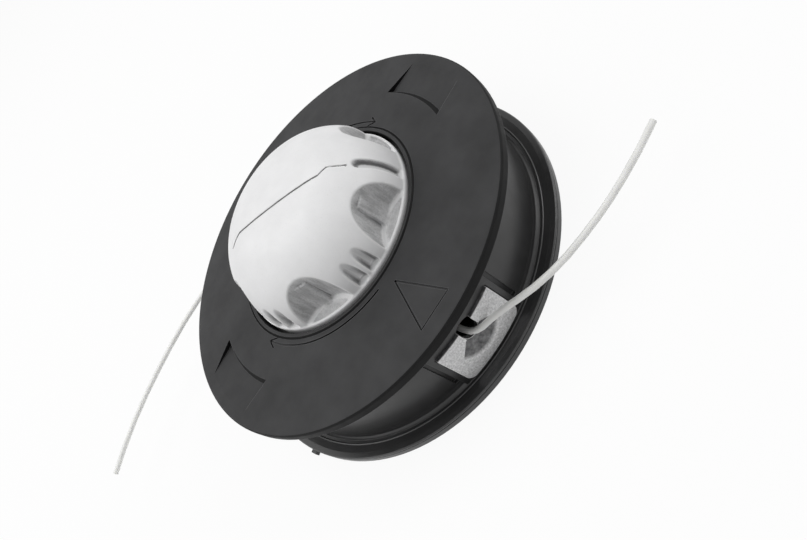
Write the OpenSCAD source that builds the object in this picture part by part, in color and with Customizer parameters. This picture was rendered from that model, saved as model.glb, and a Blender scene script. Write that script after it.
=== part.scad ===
// Bump feed trimmer head with a cast knob that rewinds the cutting line.
// The origin is the centre of the back plane, where the head meets the gearbox.
// +Z runs along the spin axis towards the knob, and +X runs out through the first eyelet.

/* [Front cover] */
// Outer diameter of the front cover
cover_d = 130; // [128:0.5:138]
// Thickness of the cover's edge, seen from the side
cover_rim_h = 3.4; // [3:0.1:4.4]
// Height of the front edge over the inner face of the cover
cover_rim_lift = 1.6; // [1.4:0.1:2.4]
// Height of the crown at the hole over the front edge
cover_crown_h = 1.8; // [1:0.1:2.6]
// Radial gap between the knob's rim and the hole in the cover
knob_hole_gap = 1; // [0.8:0.1:1.4]
// Width of the raised lip round the hole
hole_lip_w = 1.4; // [1:0.1:1.6]
// Height of the raised lip round the hole
hole_lip_h = 0.3; // [0.2:0.1:0.6]
// Thickness of the cover's skirt inside the drum
skirt_t = 1.9; // [1.5:0.1:2.2]
// Depth of the skirt below the inner face of the cover
skirt_h = 3.6; // [3:0.1:4.4]
// Length of a snap tongue below the inner face of the cover
tongue_h = 10; // [9:0.2:11]
// Width of a snap tongue, as an angle
tongue_angle = 12; // [8:0.5:14]
// Depth of a thumb pocket at its inner wall
pocket_depth = 1.8; // [1.2:0.1:2]
// Length of a thumb pocket, along a radius
pocket_len = 11.5; // [10:0.1:12.5]
// Distance from the edge of the cover to a thumb pocket
pocket_margin = 4; // [3:0.1:5]
// Half angle of a thumb pocket
pocket_half_angle = 17; // [13:0.5:19]
// Angle from the eyelets' axis to the middle of a thumb pocket
pocket_angle = 88; // [84:0.5:92]
// Width of the marks cut into the cover
mark_w = 0.5; // [0.3:0.05:0.7]
// Depth of the marks cut into the cover
mark_depth = 0.5; // [0.3:0.05:0.6]
// Distance from the raised lip to a rewind arrow
arrow_gap = 2.2; // [1.6:0.1:2.8]
// Angle that a rewind arrow spans
arrow_angle = 71; // [50:1:80]
// Angle from the eyelets' axis to the head of a rewind arrow
arrow_start = -77.8; // [-84:0.2:-70]
// Distance from the hole's lip to the tip of an eyelet triangle
triangle_gap = 5.5; // [4.6:0.1:6]
// Length of an eyelet triangle from its tip to its base
triangle_len = 17.8; // [14:0.2:19]
// Width of an eyelet triangle at its base
triangle_w = 12.4; // [10:0.2:14]

/* [Housing] */
// Distance from the edge of the cover in to the edge of the rear flange
flange_inset = 0.3; // [0.1:0.1:0.8]
// Thickness of the rear flange and of the floor
floor_t = 3.4; // [3.2:0.1:4.2]
// Distance from the edge of the cover in to the drum
drum_inset = 7.4; // [7:0.1:7.8]
// Wall of the drum
drum_wall = 3.2; // [3:0.1:3.4]
// Depth of the hollow in the back of the floor
back_recess = 1.4; // [1:0.1:1.6]
// Number of ribs in the hollow of the back
back_ribs = 8; // [6:2:12]
// Thickness of a rib in the back
back_rib_t = 2.4; // [1.8:0.2:3]
// Outer diameter of the hub that guides the spool
hub_d = 23; // [22.6:0.1:23.8]
// Diameter of the hole that the gearbox shaft enters by
shaft_hole_d = 12.4; // [11:0.2:13]

/* [Eyelets] */
// Width of an eyelet's plate
eyelet_w = 24; // [22:0.2:25]
// Height of an eyelet's plate along the spin axis
eyelet_h = 15.8; // [15.2:0.1:16.4]
// Height of a plate's lower edge over the rear flange
eyelet_lift = 0.3; // [0.2:0.05:0.6]
// Height of a plate's outer face over the drum
eyelet_proud = 1.9; // [1.7:0.1:2.2]
// Thickness of an eyelet's plate
eyelet_t = 1.6; // [1.4:0.1:1.8]
// Radius of a plate's rear corners
eyelet_corner_r = 2.4; // [1:0.1:3]
// Width of the line slot in an eyelet
line_slot_w = 5.6; // [5.4:0.1:6]
// Gap between a plate and its seat in the housing
eyelet_gap = 0.3; // [0.2:0.05:0.4]
// Width of the shank behind an eyelet's plate
shank_w = 15.2; // [14:0.2:17]

/* [Knob] */
// Diameter of the knob's dome
knob_d = 66.6; // [65:0.2:67.6]
// Height of the dome over the front edge of the cover
knob_h = 25.4; // [23:0.2:28]
// Roundness of the dome: 2 is an ellipse, and more is squarer
knob_power = 2.4; // [2.2:0.05:2.6]
// Wall of the knob
knob_wall = 2.6; // [2.2:0.1:3]
// Height of the knob's rim over the front edge of the cover
knob_rim_h = 2.5; // [2.3:0.1:3.2]
// Step from the dome out to the rim
knob_rim_step = 0.3; // [0.2:0.1:0.5]
// Number of finger scoops round the knob, with a knob screw for each two of them
scoop_count = 6; // [4:2:6]
// Radius of a finger scoop
scoop_r = 12.5; // [11:0.1:13]
// Depth of a finger scoop at the rim
scoop_depth = 5.7; // [4.6:0.1:6.2]
// Width of the flat rib on a scoop's back wall
scoop_rib_w = 5.6; // [4:0.1:7]
// Height of the ribs in the scoops over the front edge of the cover
scoop_rib_h = 13.6; // [11:0.1:14]
// Width of a groove between the scoops
groove_w = 4.1; // [3:0.1:4.4]
// Depth of a groove at the rim
groove_depth = 2.5; // [1.8:0.1:3]
// Distance between the two grooves of a pair
groove_pitch = 5.4; // [5.2:0.1:5.8]
// Width of the groove at each end of the loading mark
loading_groove_w = 3.4; // [2.6:0.1:4]
// Depth of the groove at each end of the loading mark
loading_groove_depth = 1.8; // [1:0.1:2.2]
// Angle from the loading mark to the first scoop
scoop_lead = -33.8; // [-36:0.1:-24]
// Width of the loading mark
loading_mark_w = 0.6; // [0.4:0.1:1]
// Depth of the loading mark
loading_mark_depth = 0.4; // [0.2:0.1:0.8]
// Side step of the loading mark from the middle of the knob
loading_mark_side = -4.4; // [-5:0.1:-3.6]

/* [Spool] */
// Height of one line track
track_h = 5.3; // [5.1:0.1:6]
// Thickness of the spool's end flanges
spool_flange_t = 1.8; // [1.6:0.1:2.4]
// Thickness of the wall between the two line tracks
partition_t = 1.2; // [1:0.1:1.8]
// Outer radius of the spool's barrel
barrel_r = 28; // [27.6:0.1:28.4]
// Wall of the spool's barrel
barrel_wall = 2.2; // [1.8:0.1:2.3]
// Thickness of the wall that the knob is screwed to
spool_top_t = 4; // [3.6:0.1:5]
// Angle of the spool and knob from the eyelets' axis at rest, in steps of the ratchet
spool_steps = 4; // [0:1:6]
// Travel of the spool and knob when the knob is bumped
bump_travel = 5; // [4.6:0.1:5.6]
// Number of ratchet teeth in a ring
tooth_count = 24; // [16:4:24]
// Height of a ratchet tooth
tooth_h = 2; // [1.8:0.1:2.2]
// Gap over the tips of teeth in mesh
tooth_gap = 0.2; // [0.15:0.05:0.35]

/* [Spring and fasteners] */
// Wire diameter of the spring
wire_d = 1.8; // [1.4:0.1:2]
// Number of turns of the spring
spring_turns = 4.5; // [3.5:0.5:4.5]
// Thickness of the thrust washer
thrust_t = 1.2; // [1:0.1:1.4]
// Width across the flats of the arbor nut
nut_af = 17; // [16.6:0.1:17.2]
// Height of the arbor nut
nut_h = 14; // [12:0.2:14]
// Minor diameter of the arbor nut's thread
arbor_minor_d = 8.65; // [8.4:0.05:8.9]
// Diameter of the knob screws
knob_screw_d = 4; // [3.5:0.1:4]
// Diameter of the index ring's screws
ring_screw_d = 2.9; // [2.6:0.1:3]

/* [Cutting line] */
// Diameter of the cutting line
line_d = 2; // [1.6:0.1:2.4]
// Outer radius of the line wound on the spool
wound_r = 44; // [36:0.5:46]

/* [Hidden] */
$fn = 96;

// A little more than a surface, so that a cut goes through it
over = 0.1;
// Length that reaches past the whole head
far = 200;
// Radial clearance of a piece that slides on another
slide_gap = 0.06;
// Clearance of pieces that are put together and stay
seat_gap = 0.1;
// Clearance of pieces that pass each other
pass_gap = 1.2;
// Clearance round the spring's wire
wire_gap = 1.6;
// Full turn
turn = 360;

// Radii of the housing and the cover
cover_r = cover_d / 2;
flange_r = cover_r - flange_inset;
drum_r = cover_r - drum_inset;
drum_in_r = drum_r - drum_wall;
skirt_r = drum_in_r - eyelet_gap;
skirt_in_r = skirt_r - skirt_t;
knob_r = knob_d / 2;
knob_rim_r = knob_r + knob_rim_step;
hole_r = knob_rim_r + knob_hole_gap;
lip_r = hole_r + hole_lip_w;
pocket_out_r = cover_r - pocket_margin;
pocket_r = pocket_out_r - pocket_len;
arrow_r = lip_r + arrow_gap;

// Radii of the spool, its tube and what lies round the hub
spool_r = skirt_in_r - pass_gap;
hub_r = hub_d / 2;
bush_t = 1.6;
bush_r = hub_r + slide_gap;
bush_out_r = bush_r + bush_t;
spring_r = hub_r + wire_gap + wire_d / 2;
tube_in_r = spring_r + wire_d / 2 + wire_gap;
tube_t = 2;
tube_r = tube_in_r + tube_t;
hub_foot_r = tube_r + 3.5;
low_teeth_w = 4.2;
low_teeth_r = barrel_r + 1;
high_teeth_w = 4.2;
high_teeth_r = lip_r + 1;
index_in_r = hub_foot_r - 0.4;
index_out_r = low_teeth_r + low_teeth_w + 0.8;
ring_screw_count = 4;
ring_screw_r = (index_in_r + low_teeth_r) / 2;

// Heights, from the back plane up
index_base_t = 2;
index_top_z = floor_t + index_base_t;
spool_z = index_top_z + tooth_h + tooth_gap + bump_travel;
low_track_z = spool_z + spool_flange_t;
partition_z = low_track_z + track_h;
high_track_z = partition_z + partition_t;
high_flange_z = high_track_z + track_h;
spool_top_z = high_flange_z + spool_flange_t;
cover_in_z = spool_top_z + tooth_gap + tooth_h;
rim_z = cover_in_z + cover_rim_lift;
seat_z = rim_z - cover_rim_h;
eyelet_z = floor_t + eyelet_lift;
eyelet_top_z = eyelet_z + eyelet_h;
line_z = eyelet_top_z - 3.3;
bush_h = 8;
shoulder_z = spool_top_z - bush_h;
thrust_z = shoulder_z - slide_gap - thrust_t;
hub_top_z = spool_top_z - 0.5;
nut_z = 5;
nut_top_z = nut_z + nut_h;
knob_floor_z = rim_z + knob_rim_h;

// Radii of the two faces of an eyelet's plate, and of the pad round it
eyelet_r = drum_r + eyelet_proud;
plate_in_r = eyelet_r - eyelet_t;
pad_r = eyelet_r - 1;
pad_frame = 1.6;
pad_y = eyelet_w / 2 + eyelet_gap + pad_frame;
shank_in_x = drum_in_r - 1.8;
shank_z = eyelet_z + 3.4;

// Angles
spool_angle = spool_steps * turn / tooth_count;
screw_count = scoop_count / 2;
screw_lead = scoop_lead + turn / scoop_count / 2;

// Superellipse outline of a dome, from its base out to its top
function dome_points(r, h, steps) =
    [for (i = [0 : steps]) let (a = 90 * i / steps, x = r * pow(max(0, cos(a)), 2 / knob_power))
        [x, crowned(h * pow(max(0, sin(a)), 2 / knob_power), h - crown_drop - x * x / (2 * crown_r))]];
// Lower of two heights, with a soft change from one to the other
function crowned(side, top) =
    min(side, top) - crown_soft * ln(1 + exp(-abs(side - top) / crown_soft));
// Nearly flat crown of the dome: how much lower it is than a full dome, its radius, and its soft edge
crown_drop = 1.8;
crown_r = 200;
crown_soft = 0.35;

// Height of the cover's front face at a radius, without its lip
function cover_face_z(r) = rim_z + cover_crown_h * (cover_r - r) / (cover_r - lip_r);

// Ring of rectangular section
module ring(r_out, r_in, h) {
    difference() {
        cylinder(r = r_out, h = h);
        translate([0, 0, -over]) cylinder(r = r_in, h = h + 2 * over);
    }
}

// Copies a shape at equal angles
module around(count, start = 0) {
    for (i = [0 : count - 1]) rotate([0, 0, start + i * turn / count]) children();
}

// Copies a shape at both thumb pockets
module at_pockets() {
    for (side = [-1, 1]) rotate([0, 0, side * pocket_angle]) children();
}

// Ratchet teeth that stand up from z = 0 in a ring. Each has a long slope and a steep flank,
// and the steep flank looks counterclockwise where hand is 1 and clockwise where it is -1.
tooth_base = 0.45 * 2 * PI * low_teeth_r / tooth_count;
tooth_tip = 0.8;
tooth_lean = 0.3;
module teeth(r_in, width, height, hand) {
    half = tooth_base / 2;
    around(tooth_count) translate([r_in, 0, 0]) rotate([90, 0, 90])
        linear_extrude(width) scale([hand, 1])
            polygon([[-half, -over], [half, -over], [half, 0], [half - tooth_lean, height],
                     [half - tooth_lean - tooth_tip, height], [-half, 0]]);
}

// Housing: rear flange, drum, floor and hub in one moulding

// Section of the rear flange, with its stepped edge and the ring of a shallow groove
lip_step = 0.4;
groove_d = 1;
module flange_ring() {
    ridge_r = drum_r + 2.4;
    rotate_extrude() polygon([
        [drum_in_r, 0], [flange_r - lip_step, 0], [flange_r, lip_step],
        [flange_r, floor_t - 1.1], [flange_r - lip_step, floor_t - 1], [flange_r - lip_step, floor_t - 0.8],
        [flange_r, floor_t - 0.7], [flange_r, floor_t - 0.3], [flange_r - 0.3, floor_t],
        [flange_r - 2, floor_t], [ridge_r + 0.3, floor_t - groove_d / 2], [ridge_r, floor_t - groove_d / 4],
        [ridge_r - 0.3, floor_t - groove_d], [drum_r - over, floor_t - groove_d],
        [drum_in_r, floor_t]]);
}

// Drum wall with a small fillet at the flange
module drum_wall_ring() {
    foot = 1.2;
    rotate_extrude() polygon([
        [drum_in_r, over], [drum_r, over], [drum_r + foot, floor_t - groove_d - over],
        [drum_r + foot / 4, floor_t], [drum_r, floor_t + foot],
        [drum_r, seat_z], [drum_in_r, seat_z]]);
}

// Floor with the hollow of its back, its ribs and its screw bosses
module floor_plate() {
    recess_out = drum_in_r - 3;
    difference() {
        cylinder(r = drum_in_r + over, h = floor_t);
        translate([0, 0, -over]) difference() {
            ring(recess_out, hub_foot_r, back_recess + over);
            around(back_ribs) translate([0, -back_rib_t / 2, -over])
                cube([drum_r, back_rib_t, back_recess + 3 * over]);
            around(ring_screw_count, turn / ring_screw_count / 2)
                translate([ring_screw_r, 0, 0]) cylinder(d = 3 * ring_screw_d, h = back_recess + over);
        }
        around(ring_screw_count, turn / ring_screw_count / 2)
            translate([ring_screw_r, 0, ring_screw_floor]) cylinder(d = ring_screw_d + seat_gap, h = far);
    }
}

// Hollow of the hub: hexagonal pocket for the arbor nut, then the seats of the washer and the circlip
hex_r = (nut_af / 2 + seat_gap) / cos(30);
washer_r = hub_r - 1.6;
washer_t = 1.2;
circlip_t = 1;
circlip_z = nut_top_z + washer_t + seat_gap;
circlip_groove = 0.7;
module hub_hollow() {
    translate([0, 0, -over]) cylinder(d = shaft_hole_d, h = far);
    translate([0, 0, nut_z]) cylinder(r = hex_r, h = nut_h + over, $fn = 6);
    translate([0, 0, nut_top_z]) cylinder(r = washer_r + seat_gap, h = far);
    translate([0, 0, circlip_z]) cylinder(r = washer_r + circlip_groove, h = circlip_t + seat_gap);
}

// Raised pad on the drum round an eyelet, and what is cut from it
side_slot_w = 1.5;
side_slot_depth = 3.1;
side_slot_lift = 1.8;
side_slot_top = 6.6;
module eyelet_pad() {
    low_z = floor_t / 2;
    intersection() {
        translate([0, -pad_y, low_z]) cube([far, 2 * pad_y, seat_z - low_z]);
        ring(pad_r, drum_in_r, seat_z);
    }
}
module eyelet_seat_cut() {
    // Seat of the plate
    difference() {
        translate([0, -eyelet_w / 2 - eyelet_gap, eyelet_z - seat_gap])
            cube([far, eyelet_w + 2 * eyelet_gap, eyelet_h + 2 * seat_gap]);
        cylinder(r = plate_in_r - seat_gap, h = far);
    }
    // Window for the shank
    translate([drum_in_r / 2, -shank_w / 2 - seat_gap, shank_z - seat_gap])
        cube([far, shank_w + 2 * seat_gap, eyelet_top_z - shank_z + 2 * seat_gap]);
    // Slots that flank the pad
    for (side = [-1, 1])
        translate([drum_r - side_slot_depth, side < 0 ? -pad_y - side_slot_w : pad_y,
                   eyelet_z + side_slot_lift])
            cube([far, side_slot_w, eyelet_h + side_slot_top - side_slot_lift]);
    // Relief in the wall over the line slot
    translate([drum_r - 1.8, 0, line_z]) rotate([0, 90, 0])
        cylinder(r1 = line_slot_w / 2, r2 = line_slot_w, h = 4);
}

// Window in the drum that a snap tongue of the cover catches in
window_h = 5;
window_z = seat_z - 8;
window_angle = tongue_angle + 2;
module tongue_window() {
    rotate([0, 0, -window_angle / 2]) translate([0, 0, window_z])
        rotate_extrude(angle = window_angle) translate([drum_in_r - over, 0]) square([far, window_h]);
}

// Mark that the mould's gate leaves on the edge of the flange
gate_angle = -74.4;
module gate_mark() {
    rotate([0, 0, gate_angle]) translate([flange_r - 1, -1.2, 0.2]) cube([2.2, 2.4, 1.6]);
}

module housing() color([0.13, 0.13, 0.14]) {
    difference() {
        union() {
            flange_ring();
            difference() {
                union() {
                    drum_wall_ring();
                    around(2) eyelet_pad();
                }
                around(2) eyelet_seat_cut();
                at_pockets() tongue_window();
            }
            floor_plate();
            cylinder(r = hub_r, h = hub_top_z);
            gate_mark();
        }
        hub_hollow();
    }
}

// Eyelet: a plate curved as the drum, with a shank, a slot for the line and a flare below it
flare_r = 9.6;
flare_half_angle = 60;
flare_depth = 1.2;
flare_top_lip = 0.6;
bell_lip = 2.8;
bell_depth = 4.4;
module eyelet() color([0.62, 0.62, 0.63]) {
    slot_r = line_slot_w / 2;
    difference() {
        union() {
            intersection() {
                ring(eyelet_r, plate_in_r, far);
                translate([0, 0, eyelet_z]) rotate([90, 0, 90]) linear_extrude(far) plate_outline();
            }
            intersection() {
                cylinder(r = plate_in_r + over, h = far);
                translate([shank_in_x, -shank_w / 2, shank_z])
                    cube([drum_r, shank_w, eyelet_top_z - shank_z]);
            }
        }
        // Slot for the line, open at the front edge
        translate([0, 0, line_z]) rotate([0, 90, 0]) cylinder(r = slot_r, h = far);
        translate([0, -slot_r, line_z]) cube([far, line_slot_w, far]);
        // Bell mouth towards the spool
        translate([shank_in_x - over, 0, line_z]) rotate([0, 90, 0])
            cylinder(r1 = slot_r + bell_lip, r2 = slot_r, h = bell_depth);
        flare(slot_r);
    }
}
// Flare of the outer face, which fans out from the slot towards the rear flange
module flare(slot_r) {
    step = flare_half_angle / 4;
    hull() {
        translate([eyelet_r - flare_depth, 0, line_z]) rotate([0, 90, 0])
            cylinder(r = slot_r - 0.4, h = over, $fn = 24);
        for (a = [-flare_half_angle : step : flare_half_angle])
            flare_corner(flare_r * sin(a), -flare_r * cos(a));
        for (side = [-1, 1]) flare_corner(side * (slot_r + flare_top_lip), -flare_top_lip);
    }
}
// Small block on a plate's face, at a distance sideways and up from the line slot's middle
module flare_corner(y, z) {
    translate([sqrt(eyelet_r * eyelet_r - y * y), y, line_z + z]) cube(2 * over, center = true);
}
module plate_outline() {
    r = eyelet_corner_r;
    half = eyelet_w / 2;
    union() {
        for (side = [-1, 1]) translate([side * (half - r), r]) circle(r = r);
        translate([-half + r, 0]) square([eyelet_w - 2 * r, r + over]);
        translate([-half, r]) square([eyelet_w, eyelet_h - r]);
    }
}
module eyelet_a() eyelet();
module eyelet_b() rotate([0, 0, turn / 2]) eyelet();

// Arbor nut: hexagonal insert that takes the gearbox's M10 left hand thread
module arbor_nut() color([0.66, 0.66, 0.68]) translate([0, 0, nut_z]) difference() {
    cylinder(r = hex_r - seat_gap, h = nut_h, $fn = 6);
    translate([0, 0, -over]) cylinder(d = arbor_minor_d, h = nut_h + 2 * over);
}

// Washer on the nut
module arbor_washer() color([0.7, 0.7, 0.71]) translate([0, 0, nut_top_z])
    ring(washer_r, arbor_minor_d / 2 + 0.9, washer_t);

// Circlip that holds the washer and the nut in the hub
circlip_mouth = 46;
circlip_w = 2;
module nut_circlip() color([0.35, 0.36, 0.38]) translate([0, 0, circlip_z]) {
    r_out = washer_r + circlip_groove - seat_gap;
    rotate([0, 0, circlip_mouth / 2]) rotate_extrude(angle = turn - circlip_mouth)
        translate([r_out - circlip_w, 0]) square([circlip_w, circlip_t]);
    for (side = [-1, 1]) rotate([0, 0, side * (circlip_mouth / 2 + 6)]) translate([r_out - 2.6, 0, 0])
        difference() {
            cylinder(r = 1.8, h = circlip_t);
            translate([0, 0, -over]) cylinder(r = 0.8, h = circlip_t + 2 * over);
        }
}

// Index ring on the floor, whose teeth the bumped spool drops into
ring_screw_floor = 0.5;
ring_head_h = 1.5;
module index_ring() color([0.62, 0.6, 0.55]) translate([0, 0, floor_t]) difference() {
    union() {
        ring(index_out_r, index_in_r, index_base_t);
        translate([0, 0, index_base_t])
            rotate([0, 0, turn / tooth_count / 2]) teeth(low_teeth_r, low_teeth_w, tooth_h, -1);
    }
    around(ring_screw_count, turn / ring_screw_count / 2) translate([ring_screw_r, 0, -over])
        cylinder(d = ring_screw_d + 2 * seat_gap, h = index_base_t + 2 * over);
}
module index_ring_screws() color([0.6, 0.6, 0.62]) around(ring_screw_count, turn / ring_screw_count / 2)
    translate([ring_screw_r, 0, 0]) difference() {
        tip_z = ring_screw_floor + seat_gap;
        union() {
            translate([0, 0, tip_z]) cylinder(d = ring_screw_d, h = index_top_z + over - tip_z);
            translate([0, 0, index_top_z]) cylinder(d = 1.8 * ring_screw_d, h = ring_head_h);
        }
        cross_recess(index_top_z + ring_head_h, ring_screw_d);
    }

// Cross recess in a screw head whose top is at z
module cross_recess(z, d) {
    for (a = [0, 90]) rotate([0, 0, a]) translate([-d / 2, -d / 10, z - d / 3]) cube([d, d / 5, d]);
}

// Flat steel seat under the spring
seat_t = 0.8;
module spring_seat() color([0.7, 0.7, 0.72]) translate([0, 0, floor_t])
    ring(spring_r + wire_d / 2 + 0.8, hub_r + seat_gap, seat_t);

// Compression spring: a round wire swept along a helix whose ends are closed coils
spring_steps = 14;
wire_sides = 8;
spring_z = floor_t + seat_t + wire_d / 2;
spring_top = thrust_z - wire_d / 2;
function helix_rise(k) = let (ends = 0.75, body = spring_turns - 2 * ends, flat = ends * wire_d)
    k < ends ? k * wire_d :
    k > spring_turns - ends ? spring_top - spring_z - (spring_turns - k) * wire_d :
    flat + (k - ends) / body * (spring_top - spring_z - 2 * flat);
function helix_point(i) = let (k = i / spring_steps)
    [spring_r * cos(turn * k), spring_r * sin(turn * k), spring_z + helix_rise(k)];
module spring() color([0.6, 0.61, 0.63])
    sweep_tube([for (i = [0 : spring_turns * spring_steps]) helix_point(i)], wire_d / 2, wire_sides);

// Washer between the spring and the turning spool
module thrust_washer() color([0.72, 0.72, 0.74]) translate([0, 0, thrust_z])
    ring(tube_in_r - 4 * seat_gap, hub_r + 4 * seat_gap, thrust_t);

// Tube of round section along a list of points, with flat ends
function unit(v) = v / norm(v);
function tangent(p, i) = unit(p[min(i + 1, len(p) - 1)] - p[max(i - 1, 0)]);
function sideways(t) = unit(cross([0, 0, 1], t));
function section(p, i, r, sides) = let (t = tangent(p, i), s = sideways(t), w = cross(t, s))
    [for (k = [0 : sides - 1]) let (a = turn * (k + 0.5) / sides) p[i] + r * (cos(a) * s + sin(a) * w)];
module sweep_tube(p, r, sides) {
    last = len(p) - 1;
    points = [for (i = [0 : last]) each section(p, i, r, sides)];
    walls = [for (i = [0 : last - 1], k = [0 : sides - 1]) let (n = (k + 1) % sides)
        each [[i * sides + k, (i + 1) * sides + k, (i + 1) * sides + n],
              [i * sides + k, (i + 1) * sides + n, i * sides + n]]];
    ends = [[for (k = [0 : sides - 1]) k], [for (k = [sides - 1 : -1 : 0]) last * sides + k]];
    polyhedron(points, concat(walls, ends));
}

// Spool: two line tracks round a barrel, a tube that slides on the hub, and ratchet teeth
knob_screw_r = (tube_r + barrel_r - barrel_wall) / 2;
knob_head_r = (barrel_r - barrel_wall - tube_r) / 2 - 0.25;
knob_head_h = 2.4;
spool_rib_t = 1.6;
anchor_d = line_d + 0.8;
module spool() rotate([0, 0, spool_angle]) color([0.2, 0.2, 0.21]) {
    inner_top_z = spool_top_z - spool_top_t;
    difference() {
        union() {
            translate([0, 0, spool_z]) ring(spool_r, barrel_r - over, spool_flange_t);
            translate([0, 0, partition_z]) ring(spool_r, barrel_r - over, partition_t);
            translate([0, 0, high_flange_z]) ring(spool_r, barrel_r - over, spool_flange_t);
            translate([0, 0, spool_z]) ring(barrel_r, barrel_r - barrel_wall, spool_top_z - spool_z);
            translate([0, 0, spool_z]) ring(tube_r, tube_in_r, spool_top_z - spool_z);
            translate([0, 0, inner_top_z]) ring(barrel_r - over, tube_r - over, spool_top_t);
            translate([0, 0, shoulder_z]) ring(tube_r - over, bush_out_r, spool_top_z - shoulder_z);
            around(2 * screw_count, screw_lead + turn / screw_count / 4) spool_rib(inner_top_z);
            translate([0, 0, spool_top_z]) teeth(high_teeth_r, high_teeth_w, tooth_h, 1);
            translate([0, 0, spool_z]) mirror([0, 0, 1]) teeth(low_teeth_r, low_teeth_w, tooth_h, 1);
        }
        around(screw_count, screw_lead) translate([knob_screw_r, 0, spool_z])
            cylinder(d = knob_screw_d + 2 * seat_gap, h = far);
        line_anchors();
        flange_notches();
    }
}
module spool_rib(top_z) {
    translate([tube_r - over, -spool_rib_t / 2, spool_z + 1])
        cube([barrel_r - barrel_wall - tube_r + 2 * over, spool_rib_t, top_z - spool_z - 1 + over]);
}
// Holes in the barrel where the line leaves the loading tunnel, one in each track
module line_anchors() {
    track_z = [low_track_z, high_track_z];
    for (side = [0, 1]) rotate([0, 0, side * turn / 2])
        translate([barrel_r - barrel_wall - over, 0, track_z[side] + track_h / 2]) rotate([0, 90, 0])
            cylinder(d = anchor_d, h = barrel_wall + 2 * over);
}
// Notches in the flanges that park the line while the spool is changed
notch_w = line_d - 0.2;
notch_depth = 4;
module flange_notches() {
    h = spool_flange_t + 2 * over;
    around(2) for (z = [spool_z, high_flange_z]) translate([spool_r - notch_depth, 0, z - over]) {
        translate([0, -notch_w / 2, 0]) cube([far, notch_w, h]);
        cylinder(d = notch_w, h = h);
    }
}

// Bush pressed into the spool, which slides and turns on the hub
module spool_bush() color([0.74, 0.6, 0.32]) translate([0, 0, shoulder_z])
    ring(bush_out_r, bush_r, spool_top_z - shoulder_z);

// Line wound in one track of the spool, as a solid of its outer shape
module line_wound(z) color([0.9, 0.9, 0.88]) {
    in_r = barrel_r + slide_gap;
    low = z + slide_gap;
    high = z + track_h - slide_gap;
    edge = line_d / 3;
    rotate_extrude() polygon([[in_r, low], [wound_r - edge, low], [wound_r, low + edge],
                              [wound_r, high - edge], [wound_r - edge, high], [in_r, high]]);
}
module line_wound_lower() line_wound(low_track_z);
module line_wound_upper() line_wound(high_track_z);

// Routes of the line's free ends, from inside the eyelets out to their cut ends: the distance of
// each point out from an eyelet's face, and sideways from the middle of its slot
tail_a_route = [[-6.9, -1.5], [-4.3, -1.1], [-1.9, -0.3], [-0.3, 0.9], [0.8, 2.6], [1.7, 5.4],
                [3.4, 9.4], [5.8, 13.8], [8.2, 18.8], [10.1, 24.2], [11.5, 30], [12.3, 36], [12.8, 42],
                [12.9, 48], [12.6, 54.5], [11.9, 61.8], [10.5, 70.9]];
tail_b_route = [[-6.9, -1.5], [-4.3, -1.1], [-1.9, -0.3], [-0.3, 0.9], [0.8, 2.6], [2, 5.4],
                [4.4, 9.6], [7.7, 15], [10.5, 21], [12.7, 28], [14.7, 36], [16.3, 45.4], [17.2, 55.6],
                [17.3, 66.4], [16.3, 77.4], [14.5, 88.4], [12.1, 99.2], [8.7, 109.8], [4.5, 119.4],
                [-0.6, 128.5]];
// Sag at the cut end of a tail
tail_drop = 0.8;
// Gap under a tail in the eyelet's slot
tail_gap = 0.3;
tail_sides = 8;
module line_tail(route) color([0.93, 0.93, 0.91]) {
    last = len(route) - 1;
    z = line_z - line_slot_w / 2 + tail_gap + line_d / 2;
    path = [for (i = [0 : last])
        [eyelet_r + route[i][0], route[i][1], z - tail_drop * pow(i / last, 2)]];
    sweep_tube(path, line_d / 2 / cos(turn / tail_sides / 2), tail_sides);
}
module line_tail_a() line_tail(tail_a_route);
module line_tail_b() rotate([0, 0, turn / 2]) line_tail(tail_b_route);

// Knob: a cast dome with finger scoops, grooves between them and a plain rim
scoop_axis_r = knob_r + scoop_r - scoop_depth;
boss_r = 4;
boss_depth = 13;
dome_steps = 36;
module dome(r, h) {
    translate([0, 0, rim_z]) rotate_extrude() polygon(concat([[0, 0]], dome_points(r, h, dome_steps)));
}
// Finger scoop with a flat rib on its back wall; side is 1 or -1, as neighbours are mirror images
scoop_rib_angle = 2.8;
scoop_rib_proud = 1.35;
scoop_rib_top_proud = 0.55;
scoop_ledge = 0.4;
scoop_z = knob_floor_z + scoop_ledge;
module scoop(side) {
    difference() {
        translate([scoop_axis_r, 0, scoop_z]) cylinder(r = scoop_r, h = far);
        rotate([0, 0, side * scoop_rib_angle]) scoop_rib();
    }
}
// Rib on a scoop's back wall, which stands out less towards its top
module scoop_rib() {
    wall_x = scoop_axis_r - scoop_r;
    top_z = rim_z + scoop_rib_h;
    rotate([90, 0, 0]) linear_extrude(scoop_rib_w, center = true)
        polygon([[0, 0], [wall_x + scoop_rib_proud, 0], [wall_x + scoop_rib_proud, scoop_z],
                 [wall_x + scoop_rib_top_proud, top_z], [0, top_z]]);
}
// Upright groove with a round inner wall, at a distance sideways from the middle between two scoops
module groove(y) {
    x = knob_r - groove_depth + groove_w / 2;
    translate([x, y, scoop_z]) cylinder(d = groove_w, h = far);
    translate([x, y - groove_w / 2, scoop_z]) cube([far, groove_w, far]);
}
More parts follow.
